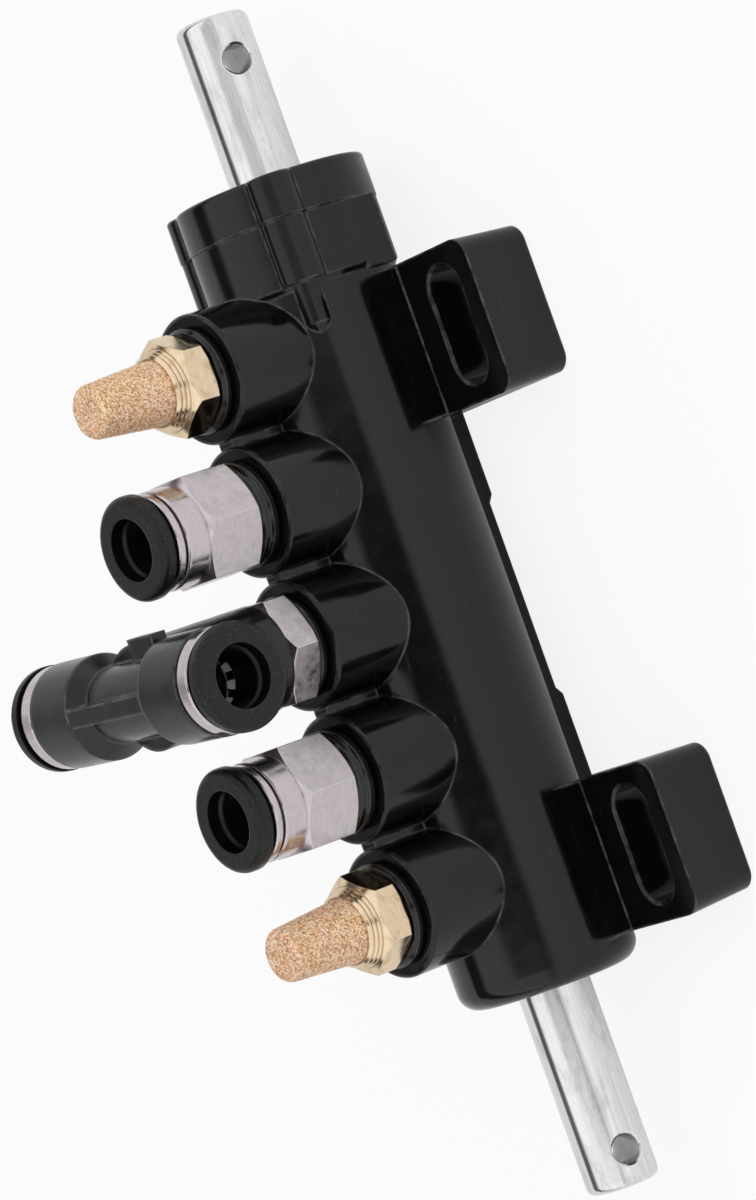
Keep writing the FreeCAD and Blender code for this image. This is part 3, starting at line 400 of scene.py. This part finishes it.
def grain_at(place):
    """Height of the grain at a place, from 0 in a pore to 1 on top, and the grain's tint."""
    distances, centres = noise.voronoi(place / GRAIN)
    near = distances[0]
    dome = math.sqrt(max(0.0, 1 - (near / GRAIN_REACH) ** 2)) if near < GRAIN_REACH else 0.0
    return dome, math.sin(centres[0].dot(TINT_DIRECTION)) * TINT_SCATTER % 1


def sintered_element(name, node):
    """A grainy skin that stays inside the plain solid it replaces."""
    low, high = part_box(node)
    foot = Vector(((low.x + high.x) / 2, (low.y + high.y) / 2, low.z))
    profile = element_profile((high.x - low.x) / 2 / MM, (high.z - low.z) / MM)
    verts, heights, tints = [], [], []
    for point, normal in profile:
        for k in range(AROUND):
            angle = 2 * math.pi * k / AROUND
            side = Vector((math.cos(angle), math.sin(angle), 0))
            place = side * point.x + Vector((0, 0, point.y))
            way = side * normal.x + Vector((0, 0, normal.y))
            dome, tint = grain_at(place + foot / MM)
            verts.append(foot + (place + way * (dome - 1) * GRAIN_DEPTH) * MM)
            heights.append(dome)
            tints.append(tint)
    last = (len(profile) - 1) * AROUND
    faces = []
    for ring in range(0, last, AROUND):
        for k in range(AROUND):
            a, b = ring + k, ring + (k + 1) % AROUND
            faces.append((a, b, b + AROUND, a + AROUND))
    faces.append(tuple(last + k for k in range(AROUND)))
    faces.append(tuple(reversed(range(AROUND))))
    mesh = bpy.data.meshes.new(name)
    mesh.from_pydata(verts, [], faces)
    mesh.attributes.new("grain", "FLOAT", "POINT").data.foreach_set("value", heights)
    mesh.attributes.new("tint", "FLOAT", "POINT").data.foreach_set("value", tints)
    mesh.polygons.foreach_set("use_smooth", [True] * len(faces))
    mesh.materials.append(FINISHES["sintered_bronze"])
    piece = bpy.data.objects.new(name, mesh)
    bpy.context.scene.collection.objects.link(piece)
    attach(piece, "housing")
    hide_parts(node)


for number in (1, 2):
    sintered_element(f"sintered_skin_{number}", f"silencer_element_{number}")


# Floor: pale paper that takes the object's shadow, lit up to the background's white

FLOOR_REACH = 4.0
FLOOR_DROP = 0.0002     # below the object's foot
FLOOR_WHITE = 0.86      # share of plain white in what the camera sees of it
FLOOR_MIRRORED = 0.2    # how much of that share reflections see

corners = [(x * FLOOR_REACH, y * FLOOR_REACH, 0) for x, y in ((-1, -1), (1, -1), (1, 1), (-1, 1))]
mesh = bpy.data.meshes.new("floor")
mesh.from_pydata(corners, [], [(0, 1, 2, 3)])
floor = bpy.data.objects.new("floor", mesh)
bpy.context.scene.collection.objects.link(floor)
floor.location.z = -FLOOR_DROP

paper = Finish("paper")
speckle = paper.spread(paper.noise(3.0), 0.86, 0.87)
paper.finish(paper.mix(speckle, grey(0), grey(1)), 0.9)
white = paper.emission("ShaderNodeEmission", WHITE, 1.0)
share = paper.math("MULTIPLY", paper.seen(FLOOR_MIRRORED), FLOOR_WHITE)
surface = paper.either(share, paper.shader.outputs["BSDF"], white)
paper.link(surface, paper.tree.nodes["Material Output"].inputs["Surface"])
floor.data.materials.append(paper.material)


# World: a white tent, with the opening that the camera looks through and seams that glossy pieces mirror.
# Heights are in degrees round the X axis: 0 towards the lugs' side, 90 straight up, 180 behind.

DIFFUSE_LIGHT = 0.62

world = bpy.data.worlds.new("studio")
bpy.context.scene.world = world
world.use_nodes = True
tent = Graph(world.node_tree)
way = tent.node("ShaderNodeSeparateXYZ")
tent.link(tent.node("ShaderNodeTexCoord").outputs["Generated"], way.inputs[0])
height = tent.math("ARCTAN2", way.outputs["Z"], tent.math("MULTIPLY", way.outputs["Y"], -1.0))
height = tent.math("MULTIPLY", height, 180 / math.pi)


def band(middle, half, soft):
    """One within half of a height, fading to zero over soft more."""
    away = tent.math("ABSOLUTE", tent.math("SUBTRACT", height, middle))
    return tent.spread(away, 1.0, 0.0, half, half + soft, "SMOOTHSTEP")


def darker(light, amount, mask):
    """light, less a share of it where the mask is one."""
    kept = tent.math("SUBTRACT", 1.0, tent.math("MULTIPLY", mask, amount))
    return tent.math("MULTIPLY", light, kept)


near_cap = tent.mask(way.outputs["X"], start=0.02, end=0.07)
across = tent.math("ABSOLUTE", way.outputs["X"])
near_middle = tent.spread(across, 1.0, 0.0, start=0.058, end=0.076, kind="SMOOTHSTEP")
cap_shade = tent.math("MULTIPLY", band(56.0, half=13.0, soft=5.0), near_cap)
opening = tent.math("MULTIPLY", band(54.5, half=16.0, soft=17.0), near_middle)

light = tent.spread(height, 0.90, 1.0, start=10.0, end=85.0)
light = darker(light, 0.25, tent.mask(height, start=120.0, end=160.0))
light = darker(light, 0.30, band(34.0, half=3.0, soft=4.0))
light = darker(light, 0.30, cap_shade)
light = darker(light, 0.90, band(135.0, half=6.0, soft=9.0))
light = darker(light, 0.96, opening)

mirrored = tent.emission("ShaderNodeBackground", tent.mix(light, grey(0), grey(1)), 1.0)
plain = tent.emission("ShaderNodeBackground", WHITE, 1.0)
soft = tent.emission("ShaderNodeBackground", WHITE, DIFFUSE_LIGHT)
to_camera = tent.node("ShaderNodeLightPath").outputs["Is Camera Ray"]
shown = tent.either(to_camera, mirrored, plain)
tent.link(tent.either(tent.seen(), soft, shown), tent.tree.nodes["World Output"].inputs["Surface"])


# Lamp

LAMP_AT = Vector((0.35, -0.55, 1.0))
LAMP_AIM = Vector((0, 0.02, 0.03))

soft_box = bpy.data.lights.new("soft_box", "AREA")
soft_box.shape = "SQUARE"
soft_box.size = 1.0
soft_box.energy = 6.0
lamp = bpy.data.objects.new("soft_box", soft_box)
lamp.location = LAMP_AT
lamp.rotation_euler = (LAMP_AIM - LAMP_AT).to_track_quat("-Z", "Y").to_euler()
lamp.visible_glossy = False
bpy.context.scene.collection.objects.link(lamp)
